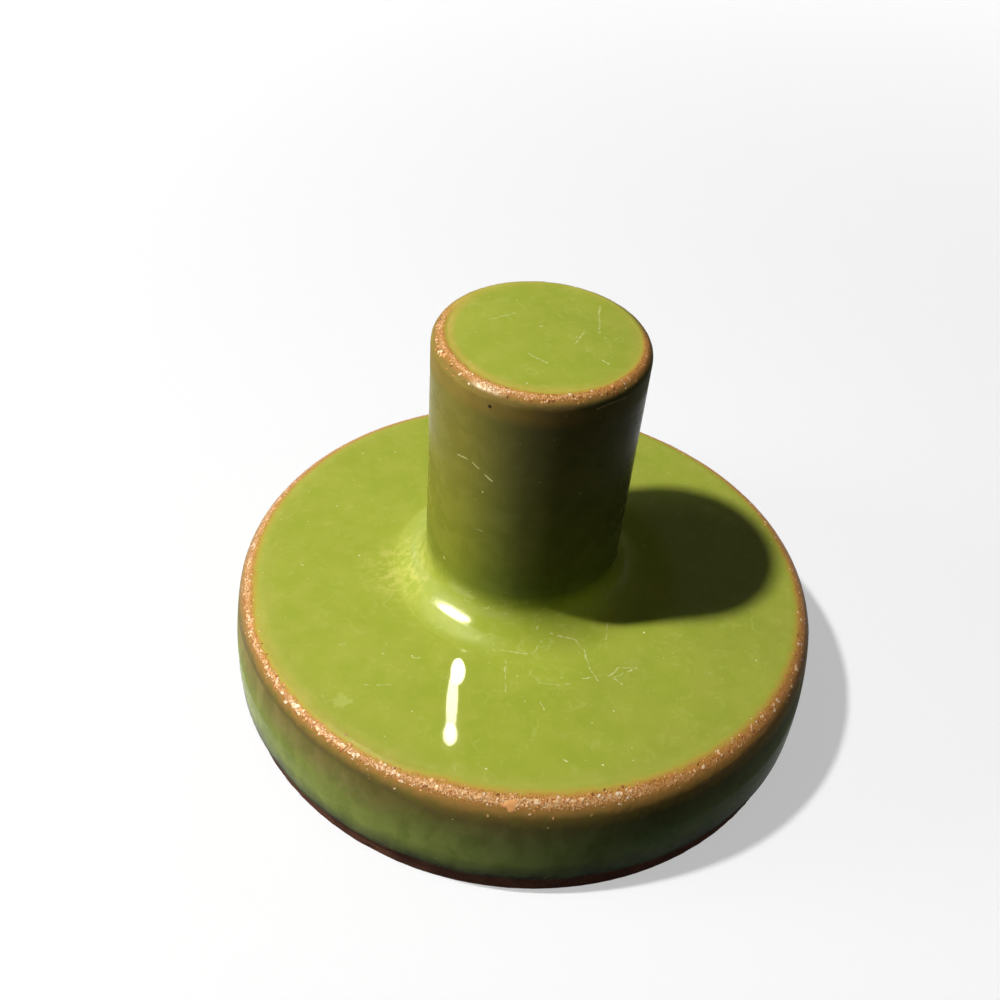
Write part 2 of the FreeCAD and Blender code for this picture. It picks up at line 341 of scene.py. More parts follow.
# Stretches of the glaze's outside, from the glaze line up to the middle of the handle's top. Each has its
# rows, its segments, and where its rings' centres start and end between the disc's axis and the handle's.
LIP = (barrel_radius_at(GLAZE_LINE + LIP_ROUNDING) - LIP_ROUNDING, GLAZE_LINE + LIP_ROUNDING)
SIDE_END = barrel_angle(SIDE_SPECKS_FROM)
TOP_START = RIM[0] - 0.9
SEAT = [
    (arc(LIP, LIP_ROUNDING, -90, 0, 0.09), MEDIUM, 0, 0),
    (arc(BARREL_CENTRE, BARREL_RADIUS, barrel_angle(LIP[1]), SIDE_END, 0.56)[1:], MEDIUM, 0, 0),
    (arc(BARREL_CENTRE, BARREL_RADIUS, SIDE_END, RIM_START, 0.22)[1:], FINE, 0, 0),
    (arc(RIM, RIM_ROUNDING, RIM_START, 90, 0.175)[1:], FINE, 0, 0),
    (line((RIM[0], DISC_TOP), (TOP_START, DISC_TOP), 0.22)[1:], FINE, 0, 0),
    (line((TOP_START, DISC_TOP), (TOP_START - 1.2, DISC_TOP), 0.6)[1:], MEDIUM, 0, 0.01),
    (line((TOP_START - 1.2, DISC_TOP), (FOOT[0], DISC_TOP), 0.8)[1:], COARSE, 0.01, 1),
]
GRIP = [
    (arc(FOOT, FOOT_ROUNDING, 270, 180, 0.36, hollow=True)[1:], MEDIUM, 1, 1),
    (line((GRIP_RADIUS, FOOT[1]), (GRIP_RADIUS, GRIP_SPECKS_FROM), 1.3)[1:], COARSE, 1, 1),
    (line((GRIP_RADIUS, GRIP_SPECKS_FROM), (GRIP_RADIUS, GRIP_RIM[1]), 0.2)[1:], MEDIUM, 1, 1),
    (arc(GRIP_RIM, GRIP_ROUNDING, 0, 90, 0.16)[1:], MEDIUM, 1, 1),
    (line((GRIP_RIM[0], TOTAL_HEIGHT), (GRIP_RIM[0] - 0.7, TOTAL_HEIGHT), 0.23)[1:], MEDIUM, 1, 1),
    (line((GRIP_RIM[0] - 0.7, TOTAL_HEIGHT), (3.5, TOTAL_HEIGHT), 0.8)[1:], COARSE, 1, 1),
    (line((3.5, TOTAL_HEIGHT), (0.5, TOTAL_HEIGHT), 0.8)[1:], PLAIN, 1, 1),
]
# The glaze's inner face, from the middle of the handle's top down to the glaze line
CORE_SKIN = (CORE_RADIUS + SKIN_GAP, CORE_HIGH[2] + SKIN_GAP)
CORE_RIM = (CORE_SKIN[0] - CORE_ROUNDING, CORE_SKIN[1] - CORE_ROUNDING)
INSIDE = [
    (line((1.0, CORE_SKIN[1]), (CORE_RIM[0], CORE_SKIN[1]), 3), 1),
    (arc(CORE_RIM, CORE_ROUNDING, 90, 0, 0.2)[1:], 1),
    (line((CORE_SKIN[0], CORE_RIM[1]), (CORE_SKIN[0], FOOT[1] - 1), 5)[1:], 1),
    (arc(FOOT, FOOT_ROUNDING + COAT - SKIN_GAP, 200, 262, 1)[1:], 1),
    (line((FOOT[0] + 1, CLAY_TOP + SKIN_GAP), (CLAY_RIM[0], CLAY_TOP + SKIN_GAP), 4), 0),
    (arc(CLAY_RIM, CLAY_RIM_ROUNDING + SKIN_GAP, 90, CLAY_RIM_START, 0.5)[1:], 0),
    (arc(BARREL_CENTRE, CLAY_BARREL_RADIUS + SKIN_GAP, CLAY_RIM_START, barrel_angle(3.0), 1.5)[1:], 0),
]


# Heights between which the glaze line's straying fades out, and a value for places far above that line
LINE_DROP_FADE = (2.4, 8.5)
FAR_ABOVE = 20.0
DISC_SEED, GRIP_SEED = 7, 8


def glaze_skin():
    """The glaze coat: one thin closed skin over the disc and the handle."""
    outside = SEAT + GRIP
    rows = np.vstack([stretch[0] for stretch in outside])
    segments = np.hstack([[stretch[1]] * len(stretch[0]) for stretch in outside])
    shift = np.hstack([smooth(np.linspace(a, b, len(r)), 0, 1) for r, _, a, b in outside])
    along = np.hstack([0, np.cumsum(np.hypot(*np.diff(rows[:, :2], axis=0).T))])
    disc_rows = sum(len(stretch[0]) for stretch in SEAT)
    top_rows = len(SEAT[-1][0])

    def edge_at(chosen, tip, fill, seed):
        """Where the rounding that ends at the point tip ends along the outline, and the edge's specks."""
        end = along[np.argmin(np.hypot(rows[:, 0] - tip[0], rows[:, 1] - tip[1]))]
        picked = np.nonzero(chosen)[0]
        edge = Edge(along[picked], rows[picked, 0], int(segments[picked[0]]))
        fill(edge, end, np.random.default_rng(seed))
        return end, edge

    low_edge = edge_at(segments == FINE, (RIM[0], DISC_TOP), disc_specks, DISC_SEED)
    on_grip_edge = (segments == MEDIUM) & (rows[:, 1] > GRIP_SPECKS_FROM)
    high_edge = edge_at(on_grip_edge, (GRIP_RIM[0], TOTAL_HEIGHT), grip_specks, GRIP_SEED)

    skin = Skin()
    for stretch, centre in INSIDE:
        for radius, height, _, _ in stretch:
            skin.add(ring_points(radius, height, azimuths(PLAIN), centre), above_line=5.0)
    for i, (radius, height, normal_out, normal_up) in enumerate(rows):
        angle = azimuths(segments[i])
        on_disc = i < disc_rows
        above_line = FAR_ABOVE
        if i < disc_rows - top_rows:
            nominal = height
            drop = line_drop(angle) * (1 - smooth(nominal, *LINE_DROP_FADE))
            height = nominal + drop
            above_line = height - GLAZE_LINE - drop
            if nominal < RIM[1]:
                radius = radius + barrel_radius_at(height) - barrel_radius_at(nominal)
        if not on_disc:
            radius = radius + grip_flare(height)
        points = ring_points(radius, height, angle, shift[i])
        normals = ring_points(normal_out, normal_up, angle)
        steepness = 1 - normal_up**2
        push = (0.008 + 0.03 * steepness) * wobble(points, 15, 1, 1)
        push = push + 0.006 * steepness * wobble(points, 3.5, 2, 2)
        end, edge = low_edge if on_disc else high_edge
        roll = (end - along[i]) / ((RIM_ROUNDING if on_disc else GRIP_ROUNDING) * math.pi / 2)
        place = np.nonzero(edge.along == along[i])[0]
        speck, tone = 0.0, 0.0
        if len(place):
            speck, tone = edge.speck[place[0]], edge.tone[place[0]]
            worn = smooth(roll, -0.05, 0.35) * (1 - smooth(roll, 0.75, 1.1))
            push = push + edge.lift[place[0]] + worn * 0.025 * wobble(points, 0.5, 3, 3)
        grip = 0.0 if on_disc else smooth(height, DISC_TOP + 1.6, FOOT[1] + 2) * smooth(roll, 0, 0.5)
        skin.add(points + normals * push[:, None], roll=np.clip(roll, -1, 2), at_edge=float(-1 < roll < 2),
                 speck=speck, tone=tone, grip=grip, above_line=above_line)
    piece = skin.build("glaze_skin", "roll", "at_edge", "speck", "tone", "grip", "above_line")
    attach(piece, "root")
    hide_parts("glaze_coat")
    return piece


# Bare clay: the disc, with its foot band and the relief of its stamping face

def relief_depth(points):
    """Height of the CAD disc's underside over each point, which is 0 on the flat of the stamping face."""
    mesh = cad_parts["stamp_disc"].data
    tree = BVHTree.FromPolygons([v.co for v in mesh.vertices], [p.vertices for p in mesh.polygons])
    depths = []
    for x, y in points:
        hit = tree.ray_cast(Vector((x * MM, y * MM, -0.01)), Vector((0, 0, 1)))[0]
        depths.append(hit.z / MM if hit else 0.0)
    return np.array(depths)


def clay_disc():
    """The terracotta disc as one closed piece. Its stamping face takes its relief from the CAD disc."""
    skin = Skin()
    base_radius = float(barrel_radius_at(CLAY_BASE_ROUNDING, COAT)) - CLAY_BASE_ROUNDING
    radii = np.append(np.arange(0.6, base_radius - 0.2, 0.36), base_radius - 0.05)
    for radius in radii:
        segments = MEDIUM if radius > 14 else COARSE if radius > 6 else PLAIN
        angle = azimuths(segments)
        points = ring_points(radius, 0.0, angle)
        depth = relief_depth(points[:, :2]) if radius < base_radius - 0.6 else 0 * angle
        softened = (depth + np.roll(depth, 1) + np.roll(depth, -1)) / 3
        grain = 0.02 * wobble(points, 0.9, 2, 11) + 0.05 * wobble(points, 9, 2, 12)
        points[:, 2] = softened + np.abs(grain) * (softened > 0.2) + 0.3 * np.abs(grain)
        skin.add(points, recess=smooth(softened, 0.1, 1.2))
    base, band = barrel_angle(CLAY_BASE_ROUNDING), barrel_angle(BARE_BAND_TOP)
    rows = np.vstack([
        arc((base_radius, CLAY_BASE_ROUNDING), CLAY_BASE_ROUNDING, -90, base, 0.12),
        arc(BARREL_CENTRE, CLAY_BARREL_RADIUS, base, band, 0.22)[1:],
        arc(BARREL_CENTRE, CLAY_BARREL_RADIUS, band, CLAY_RIM_START, 1.5)[1:],
        arc(CLAY_RIM, CLAY_RIM_ROUNDING, CLAY_RIM_START, 90, 0.5)[1:],
        line((CLAY_RIM[0], CLAY_TOP), (1.5, CLAY_TOP), 5)[1:],
    ])
    for radius, height, normal_out, normal_up in rows:
        segments = MEDIUM if height < 4.2 else PLAIN
        angle = azimuths(segments)
        points = ring_points(radius, height, angle)
        normals = ring_points(normal_out, normal_up, angle)
        rough = (1 - smooth(height, 2.6, 3.2)) * smooth(height, 0.0, 0.15)
        chips = np.maximum(0, wobble(points, 2.3, 2, 13) - 0.35) * (1 - smooth(height, 0.4, 0.9))
        push = rough * (0.045 * wobble(points, 1.1, 3, 14) - 0.3 * chips)
        skin.add(points + normals * push[:, None], recess=0.0)
    piece = skin.build("clay_disc", "recess")
    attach(piece, "root")
    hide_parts("stamp_disc")
    return piece


# Materials

class Shader:
    """A material made of nodes. An input is a value or another node's output."""

    def __init__(self, tree):
        self.tree = tree
        tree.nodes.clear()

    def add(self, kind, inputs, **settings):
        node = self.tree.nodes.new("ShaderNode" + kind)
        for name, value in settings.items():
            setattr(node, name, value)
        for place, value in inputs.items():
            if isinstance(value, bpy.types.NodeSocket):
                self.tree.links.new(value, node.inputs[place])
            else:
                node.inputs[place].default_value = value
        return node

    def vector(self, operation, *inputs, output="Vector"):
        """A vector sum, product or the like."""
        return self.add("VectorMath", dict(enumerate(inputs)), operation=operation).outputs[output]

    def length(self, first, second):
        """Distance between two places."""
        return self.vector("DISTANCE", first, second, output="Value")

    def lean(self, where, direction):
        """How far a place lies in a direction."""
        return self.vector("DOT_PRODUCT", where, direction, output="Value")

    def millimetres(self):
        """The point on the object, in millimetres."""
        where = self.add("TexCoord", {}).outputs["Object"]
        return self.add("VectorMath", {0: where, "Scale": 1 / MM}, operation="SCALE").outputs[0]

    def value(self, name):
        """A value that the mesh holds at each point."""
        return self.add("Attribute", {}, attribute_name=name).outputs["Fac"]

    def calc(self, operation, *inputs, clamp=False):
        return self.add("Math", dict(enumerate(inputs)), operation=operation, use_clamp=clamp).outputs[0]

    def product(self, *factors):
        return reduce(lambda first, second: self.calc("MULTIPLY", first, second), factors)

    def strongest(self, *values):
        return reduce(lambda first, second: self.calc("MAXIMUM", first, second), values)

    def scaled(self, value, factor, offset):
        """The value times the factor, plus the offset."""
        return self.calc("MULTIPLY_ADD", value, factor, offset)

    def opposite(self, value):
        """1 where the value is 0, and 0 where it is 1."""
        return self.calc("SUBTRACT", 1.0, value)

    def rise(self, value, low, high, start=0.0, end=1.0):
        """From start where value is low to end where it is high, with soft ends."""
        inputs = {"Value": value, "From Min": low, "From Max": high, "To Min": start, "To Max": end}
        return self.add("MapRange", inputs, interpolation_type="SMOOTHSTEP").outputs["Result"]

    def stretched(self, where, scale, turn=0.0):
        """Coordinates turned about Z and then scaled."""
        turned = self.add("VectorRotate", {"Vector": where, "Angle": turn}, rotation_type="Z_AXIS").outputs[0]
        return self.vector("MULTIPLY", turned, scale)

    def warped(self, where, size, reach):
        """Coordinates pushed about by noise, by about a third of reach."""
        push = self.add("TexNoise", {"Vector": where, "Scale": 1 / size, "Detail": 2.0}).outputs["Color"]
        push = self.vector("SUBTRACT", push, (0.5, 0.5, 0.5))
        return self.vector("MULTIPLY_ADD", push, (reach, reach, reach), where)

    def noise(self, where, size, detail=2.0, roughness=0.5):
        inputs = {"Vector": where, "Scale": 1 / size, "Detail": detail, "Roughness": roughness}
        return self.add("TexNoise", inputs).outputs["Fac"]

    def swing(self, where, size, reach, detail=3.0, roughness=0.6):
        """Noise that swings from minus to plus reach about 0."""
        return self.scaled(self.noise(where, size, detail, roughness), 2 * reach, -reach)

    def wisps(self, where, size, width):
        """Long thin curves."""
        field = self.noise(where, size, 2, 0.5)
        return self.rise(self.calc("ABSOLUTE", self.calc("SUBTRACT", field, 0.5)), 0.0, width, 1, 0)

    def dots(self, where, spacing, smallest, largest, share):
        """Dots, at most one to a cell: how solid they are, and each one's own number. Radii are in cells."""
        cell = self.add("TexVoronoi", {"Vector": where, "Scale": 1 / spacing})
        pick, size, tone = list(self.add("SeparateColor", {0: cell.outputs["Color"]}).outputs)[:3]
        reach = self.scaled(self.product(size, size), largest - smallest, smallest)
        solid = self.rise(self.calc("SUBTRACT", reach, cell.outputs["Distance"]), 0.0, smallest * 0.5)
        return self.product(solid, self.calc("LESS_THAN", pick, share)), tone

    def stroke(self, where, start, end, width):
        """1 on a straight thin mark between two points."""
        start, end = Vector(start), Vector(end)
        along = end - start
        away = self.vector("SUBTRACT", where, start)
        reach = self.calc("MULTIPLY", self.lean(away, along / along.length_squared), 1.0, clamp=True)
        nearest = self.add("VectorMath", {0: along, "Scale": reach}, operation="SCALE").outputs[0]
        return self.rise(self.length(away, nearest), width * 0.3, width, 1, 0)

    def blend(self, factor, first, second, mode="MIX"):
        """The second colour over the first. 0, 6 and 7 are the factor's and the two colours' inputs."""
        inputs = {0: factor, 6: first, 7: second}
        return self.add("Mix", inputs, data_type="RGBA", blend_type=mode).outputs[2]

    def tinted(self, first, second):
        """Two colours multiplied."""
        return self.blend(1.0, first, second, "MULTIPLY")

    def ramp(self, value, stops):
        """A colour that runs through stops, each a value and the colour's three shares there."""
        low, high = stops[0][0], stops[-1][0]
        place = self.add("MapRange", {"Value": value, "From Min": low, "From Max": high}).outputs["Result"]
        node = self.add("ValToRGB", {"Fac": place})
        elements = node.color_ramp.elements
        for index, (stop, *shares) in enumerate(stops):
            spot = (stop - low) / (high - low)
            element = elements[index] if index < 2 else elements.new(spot)
            element.position = spot
            element.color = colour(*shares)
        return node.outputs["Color"]

    def bump(self, height, normal=None):
        """A normal bent by a height in millimetres."""
        inputs = {"Height": height, "Distance": MM, "Strength": 1.0}
        if normal:
            inputs["Normal"] = normal
        return self.add("Bump", inputs).outputs["Normal"]

    def surface(self, **inputs):
        """The finished surface. Underscores in the names of inputs stand for spaces."""
        shader = self.add("BsdfPrincipled", {name.replace("_", " "): v for name, v in inputs.items()})
        self.add("OutputMaterial", {"Surface": shader.outputs[0]})


def colour(red, green, blue):
    """A colour with all its shares from 0 to 1, as light and not as screen values."""
    return (red, green, blue, 1.0)


def new_material(name):
    material = bpy.data.materials.new(name)
    material.use_nodes = True
    return material, Shader(material.node_tree)


WHITE = colour(1, 1, 1)

# Colours over a value. Flat faces: from the right, -1, to the left, 1, paler at the left as painted light
TOP_PAINTED_LIGHT_COLOURS = [
    (-1.1, 0.362, 0.392, 0.055), (0, 0.39, 0.438, 0.052), (1.1, 0.44, 0.48, 0.064),
]
# Handle's side: over the height, and factors over x; the last factors are painted shade, darker towards the
# right, and less so in blue as a painted reflection
GRIP_COLOURS = [
    (17, 0.24, 0.29, 0.032), (24, 0.29, 0.3, 0.038), (33, 0.32, 0.3, 0.052), (42, 0.29, 0.245, 0.052),
]
GRIP_TINTS = [
    (-8, 1.28, 1.08, 1.2), (-4.5, 1.38, 1.12, 1.1), (-1.5, 2, 1.55, 1.2), (2, 1.9, 1.4, 1.4), (5, 1, 1, 1),
]
GRIP_PAINTED_SHADE = [
    (-10.5, 0.94, 0.94, 0.86), (-7.3, 0.92, 0.92, 0.84), (-5.2, 0.74, 0.76, 0.84), (-3, 0.55, 0.58, 0.82),
    (-0.9, 0.36, 0.38, 0.6), (9, 0.28, 0.31, 0.48),
]
# Rims, and factors for the flat faces next to them: over the roll, 0 on the flat to 1 on the side
RIM_COLOURS = [
    (0.06, 0.43, 0.44, 0.058), (0.16, 0.48, 0.38, 0.06), (0.25, 0.54, 0.31, 0.062),
    (0.34, 0.6, 0.275, 0.062), (0.46, 0.54, 0.25, 0.062), (0.6, 0.43, 0.225, 0.056),
    (0.8, 0.3, 0.18, 0.046), (0.95, 0.205, 0.14, 0.038), (1.15, 0.13, 0.105, 0.036),
]
RIM_TINTS = [
    (-0.45, 1, 1, 1), (0, 1.08, 1, 1.3), (0.12, 1.06, 0.91, 1.28), (0.26, 1.05, 0.8, 1.25),
]
# Disc's side: over the height above the glaze line, dark at that line from pooled glaze and painted shade
# under the lip, and factors over x that are painted shade, darker towards the right, and less so in blue as a
# painted reflection
SIDE_COLOURS = [
    (0, 0.05, 0.042, 0.018), (0.5, 0.085, 0.092, 0.026), (1.4, 0.19, 0.225, 0.045), (3, 0.33, 0.39, 0.066),
    (4.6, 0.3, 0.35, 0.06), (6.4, 0.25, 0.255, 0.05), (8.2, 0.23, 0.195, 0.042), (9.4, 0.21, 0.165, 0.036),
]
SIDE_PAINTED_SHADE = [
    (-30, 1.06, 1.06, 1.06), (-14, 0.9, 0.9, 1.05), (0, 0.71, 0.73, 1.1), (14, 0.45, 0.53, 0.9),
    (30, 0.35, 0.42, 0.6),
]
# Crumbs and burst bubbles: over each one's tone
SPECK_COLOURS = [
    (0, 0.13, 0.045, 0.016), (0.14, 0.42, 0.14, 0.035), (0.3, 0.68, 0.27, 0.08), (0.46, 0.88, 0.42, 0.15),
    (0.62, 0.92, 0.62, 0.31), (1, 0.95, 0.84, 0.62),
]
MARK = colour(0.66, 0.69, 0.2)
# painted light: the yellow of a glow left of the handle's foot
PAINTED_GLOW = colour(0.72, 0.66, 0.17)
FLECK = colour(0.92, 0.93, 0.5)
RUST = colour(0.3, 0.08, 0.02)
# painted reflection: the colour of thin arcs of mirrored light under the rims
PAINTED_REFLECTION = colour(0.42, 0.3, 0.2)
AMBER = colour(0.18, 0.17, 0.03)
# painted highlight: the peach of a sheen along the rim's crust
PAINTED_CREST_SHEEN = colour(0.92, 0.6, 0.32)
CHIPPED = colour(0.8, 0.72, 0.33)
HOLE = colour(0.03, 0.025, 0.012)


def top_point(x, y):
    """A point on the disc's top or on the hollow curve round the handle's foot."""
    inward = max(0.0, FOOT[0] - math.hypot(x - GRIP_AXIS[0], y - GRIP_AXIS[1]))
    return (x, y, FOOT[1] - math.sqrt(FOOT_ROUNDING**2 - min(inward, FOOT_ROUNDING) ** 2))


def wall_point(azimuth, height):
    """A point on the handle's side."""
    radius = GRIP_RADIUS + float(grip_flare(height))
    angle = math.radians(azimuth)
    return (GRIP_AXIS[0] + radius * math.cos(angle), GRIP_AXIS[1] + radius * math.sin(angle), height)


def grip_top_point(x, y):
    """A point on the handle's top."""
    return (x, y, TOTAL_HEIGHT)


def rim_point(azimuth, tilt):
    """A point on the disc's rim, tilt degrees down from its top."""
    angle, tilt = math.radians(azimuth), math.radians(tilt)
    radius = RIM[0] + RIM_ROUNDING * math.sin(tilt)
    return (radius * math.cos(angle), radius * math.sin(angle), RIM[1] + RIM_ROUNDING * math.cos(tilt))


def marks(point_at, *rows):
    """Straight marks, from rows of two numbers for either end and one for the mark as a whole."""
    return [(point_at(*row[:2]), point_at(*row[2:4]), row[4]) for row in rows]


# Scratches: x and y of both ends, and how plain each one is
SCRATCHES = marks(
    top_point,
    (-6.3, -9.2, -1.3, -10.6, 0.7), (-4.1, -10.1, -3.6, -10.2, 1.4), (2, -10.2, 1.7, -10.9, 0.9),
    (1.5, -12.9, 2.6, -11.4, 0.6), (3, -10.9, 5.9, -10.7, 0.8), (5.9, -10.7, 6.9, -11.7, 1),
    (6.9, -11.7, 7.5, -13.9, 1), (7.5, -13.9, 8.4, -15.5, 0.8), (2.3, -16.7, 4.5, -16.6, 0.5),
    (-1.2, -14.1, -0.8, -18.5, 0.8), (4.7, -15.7, 5.3, -15.7, 1), (6.8, -15.5, 7.7, -15.2, 1.2),
    (5.2, -16.5, 6.1, -16.1, 0.7), (9.5, -14.7, 10.6, -13.4, 0.9), (10.6, -13.4, 12.4, -13.2, 0.9),
    (9.9, -14.9, 11.9, -13.5, 1.2), (10.2, -15, 11, -15.6, 1.1), (9.3, -7.3, 9.1, -9.7, 0.9),
    (2.8, -19.2, 3.2, -20, 1.1), (5.4, -25.9, 5.9, -26.1, 1.6), (-10.8, -15.3, -9.9, -15.2, 0.9),
    (-15, -19.6, -12.3, -19.1, 0.7), (-18.6, -14.5, -18, -14.4, 1.2), (-2.5, -13.1, 1, -13.2, 0.6),
    (1.4, -13, 1.5, -15.6, 0.5), (1.6, -15.8, 3, -16.9, 0.4),
)
GRIP_SCRATCHES = marks(
    grip_top_point,
    (4.3, 6.4, 4.4, 1.5, 0.7), (3, 1.3, 2.1, -0.9, 0.8), (-2.1, -3.3, -0.2, -4.6, 0.9),
    (-6.3, 1.9, -3.9, 3.5, 0.6), (4.9, -3.1, 5.5, -3.6, 1.2), (-1.4, 1.7, -1.2, 1.7, 1.6),
)
# Chips, and painted reflections as thin pale arcs under both rims: azimuth and height, or tilt on the rim, of
# both ends, and a width
CHIPS = marks(
    wall_point,
    (-130, 35.2, -123, 35.4, 0.1), (-120, 35.3, -116, 34.9, 0.09), (-112, 34.4, -108, 34, 0.13),
    (-113, 32.3, -112.6, 32.2, 0.12), (-138, 20.5, -137.4, 20.3, 0.15),
)
PAINTED_REFLECTION_ARCS = marks(wall_point, (-58, 43, -50, 43.2, 0.1), (-50, 43.2, -40, 43.1, 0.08)) + marks(
    rim_point,
    (-53.5, 76, -49, 78, 0.09), (-49, 78, -44, 77, 0.13), (-44, 77, -38.5, 63, 0.1),
    (-38.5, 63, -32, 51, 0.08),
)
# Hairs round the handle's foot, and fibres of dust: angle, spacing and how much a hair is drawn out
FIBRES = [(0.5, 2.1), (1.9, 2.7), (2.7, 1.8)]
HAIRS = [(0.15, 1.7, 0.1), (0.8, 1.9, 0.14), (1.45, 1.6, 0.12), (2.1, 2.1, 0.13), (2.7, 1.8, 0.15)]
STAR_CENTRE = top_point(-16.8, -21.9)
PINHOLE = wall_point(-112, 42.6)
# centre of the painted glow of light left of the handle's foot
PAINTED_GLOW_CENTRE = top_point(-13.2, -2.5)
WORN_CENTRE = top_point(-7.6, -9.0)
GRIP_SHINE = (-5.6, -9.6, 44.3)
FRONT_LEFT = (-0.66, -0.75, 0)
BRIGHTEST_EDGE = (-0.669, -0.743, 0)


def glaze_material():
    """Apple-green glass over clay: mottled, broken to orange at the edges, with fine scratches and dust."""
    material, s = new_material("green_glaze")
    where = s.millimetres()
    flowing = s.warped(where, 3.0, 2.4)
    frayed = s.warped(where, 0.45, 0.22)
    x = s.lean(where, (1, 0, 0))
    z = s.lean(where, (0, 0, 1))
    outward = s.vector("NORMALIZE", s.vector("MULTIPLY", where, (1, 1, 0)))

    # flat faces: paler at the left as painted light falling from that side, with soft small mottling
    # painted light: the flat faces grow paler towards the left, more steeply across the handle's top
    side_to_side = s.product(x, s.rise(z, 30, 40, -1 / 29, -1 / 11))
    green = s.ramp(s.calc("ADD", side_to_side, s.swing(where, 9, 0.9, 2)), TOP_PAINTED_LIGHT_COLOURS)
    dull = s.tinted(green, colour(0.89, 0.945, 0.78))
    body = s.blend(s.rise(s.noise(flowing, 2.6, 3, 0.55), 0.3, 0.68), dull, green)

    # yellower on the way to the rims, most at the left
    low_down = s.rise(z, 30, 25)
    leftward = s.rise(s.lean(outward, (-1, 0, 0)), 0.45, 0.95)
    orange = s.blend(leftward, colour(1.35, 1.00, 1.45), colour(1.62, 0.98, 1.75))
    orange = s.blend(s.rise(s.value("roll"), -0.6, 0.0), WHITE, orange)
    yellower = s.blend(low_down, orange, s.ramp(s.value("roll"), RIM_TINTS))
    nearing = s.product(s.value("at_edge"), s.rise(s.lean(outward, FRONT_LEFT), -0.2, 0.9, 0.35, 1))
    body = s.blend(nearing, body, s.tinted(body, yellower))

    # handle's side: smooth olive, browner towards its rim, with painted shade towards the right
    grip = s.value("grip")
    olive = s.ramp(s.calc("ADD", z, s.swing(flowing, 6, 3)), GRIP_COLOURS)
    dim = s.blend(s.rise(s.noise(flowing, 3.0, 3, 0.6), 0.35, 0.65), colour(0.86, 0.86, 0.80), WHITE)
    olive = s.tinted(olive, dim)
    # painted shade: darker towards the right, away from the key lamp, with a bluish painted reflection in it
    olive = s.tinted(olive, s.ramp(x, GRIP_PAINTED_SHADE))
    near_top = s.rise(z, 40.8, 42.4)
    olive = s.blend(near_top, olive, s.tinted(olive, s.ramp(x, GRIP_TINTS)))
    body = s.blend(grip, body, olive)

    # disc's side: brown under the rim, greener lower down, dark at the glaze line from pooled glaze and
    # painted shade under the lip, with painted shade towards the right and painted light at the upper left
    above = s.value("above_line")
    side = s.ramp(s.calc("ADD", above, s.swing(flowing, 3.4, 1.5)), SIDE_COLOURS)
    cloudy = s.noise(s.stretched(flowing, (1, 1, 0.5)), 2.4, 4, 0.6)
    side = s.blend(s.rise(cloudy, 0.36, 0.64), s.tinted(side, colour(0.74, 0.80, 0.66)), side)
    # painted shade: darker towards the right, with a bluish painted reflection in it
    side = s.tinted(side, s.ramp(x, SIDE_PAINTED_SHADE))
    # painted light on the upper left of the side, with a bluish painted reflection
    painted_light_upper_left = s.product(s.rise(above, 4.5, 8), s.rise(x, -8, -18))
    side = s.blend(painted_light_upper_left, side, s.tinted(side, colour(1.26, 1.22, 1.6)))
    on_side = s.rise(above, 9.4, 10.6, 1, 0)
    body = s.blend(on_side, body, side)

    # edges: orange, with amber glass below
    roll = s.calc("ADD", s.value("roll"), s.swing(where, 0.7, 0.11, 4, 0.65))
    front_left = s.product(s.rise(s.lean(outward, BRIGHTEST_EDGE), 0.85, 0.97), low_down)
    narrower = s.scaled(front_left, 0.6, 1.0)
    middle = s.rise(low_down, 0, 1, s.rise(leftward, 0, 1, 0.66, 0.77), 0.55)
    roll = s.scaled(s.calc("SUBTRACT", roll, 0.56), narrower, middle)
    worn_side = s.strongest(low_down, s.rise(s.lean(outward, (0, -1, 0)), -0.5, -0.05, 0.12, 1))
    ending = s.rise(s.scaled(low_down, -0.35, roll), 0.65, 0.95, 1, 0)
    rim = s.product(s.rise(roll, 0.02, 0.16), ending, s.value("at_edge"), worn_side)
    body = s.blend(rim, body, s.ramp(roll, RIM_COLOURS))
    amber = s.product(rim, s.rise(roll, 0.6, 0.85), s.rise(s.noise(flowing, 1.3, 3, 0.6), 0.46, 0.6))
    body = s.blend(s.product(amber, 0.5), body, AMBER)

    # crust: rust-coloured grain and cream specks, thickest at the front left, where their crowding also
    # stands in for a painted highlight, with a painted peach sheen along the crest there
    crest = s.product(s.rise(roll, 0.18, 0.30), s.rise(roll, 0.48, 0.70, 1, 0), rim)
    grain = s.noise(where, 0.17, 2, 0.6)
    rust = s.product(crest, s.rise(grain, 0.5, 0.6))
    body = s.blend(s.product(rust, 0.7), body, RUST)
    thick = s.rise(s.lean(outward, FRONT_LEFT), 0.0, 0.95, 0.14, 1.0)
    thick = s.product(thick, crest, s.rise(s.noise(where, 2.6, 2), 0.34, 0.6, 0.5, 1.1),
                      s.rise(low_down, 0, 1, 0.6, 1))
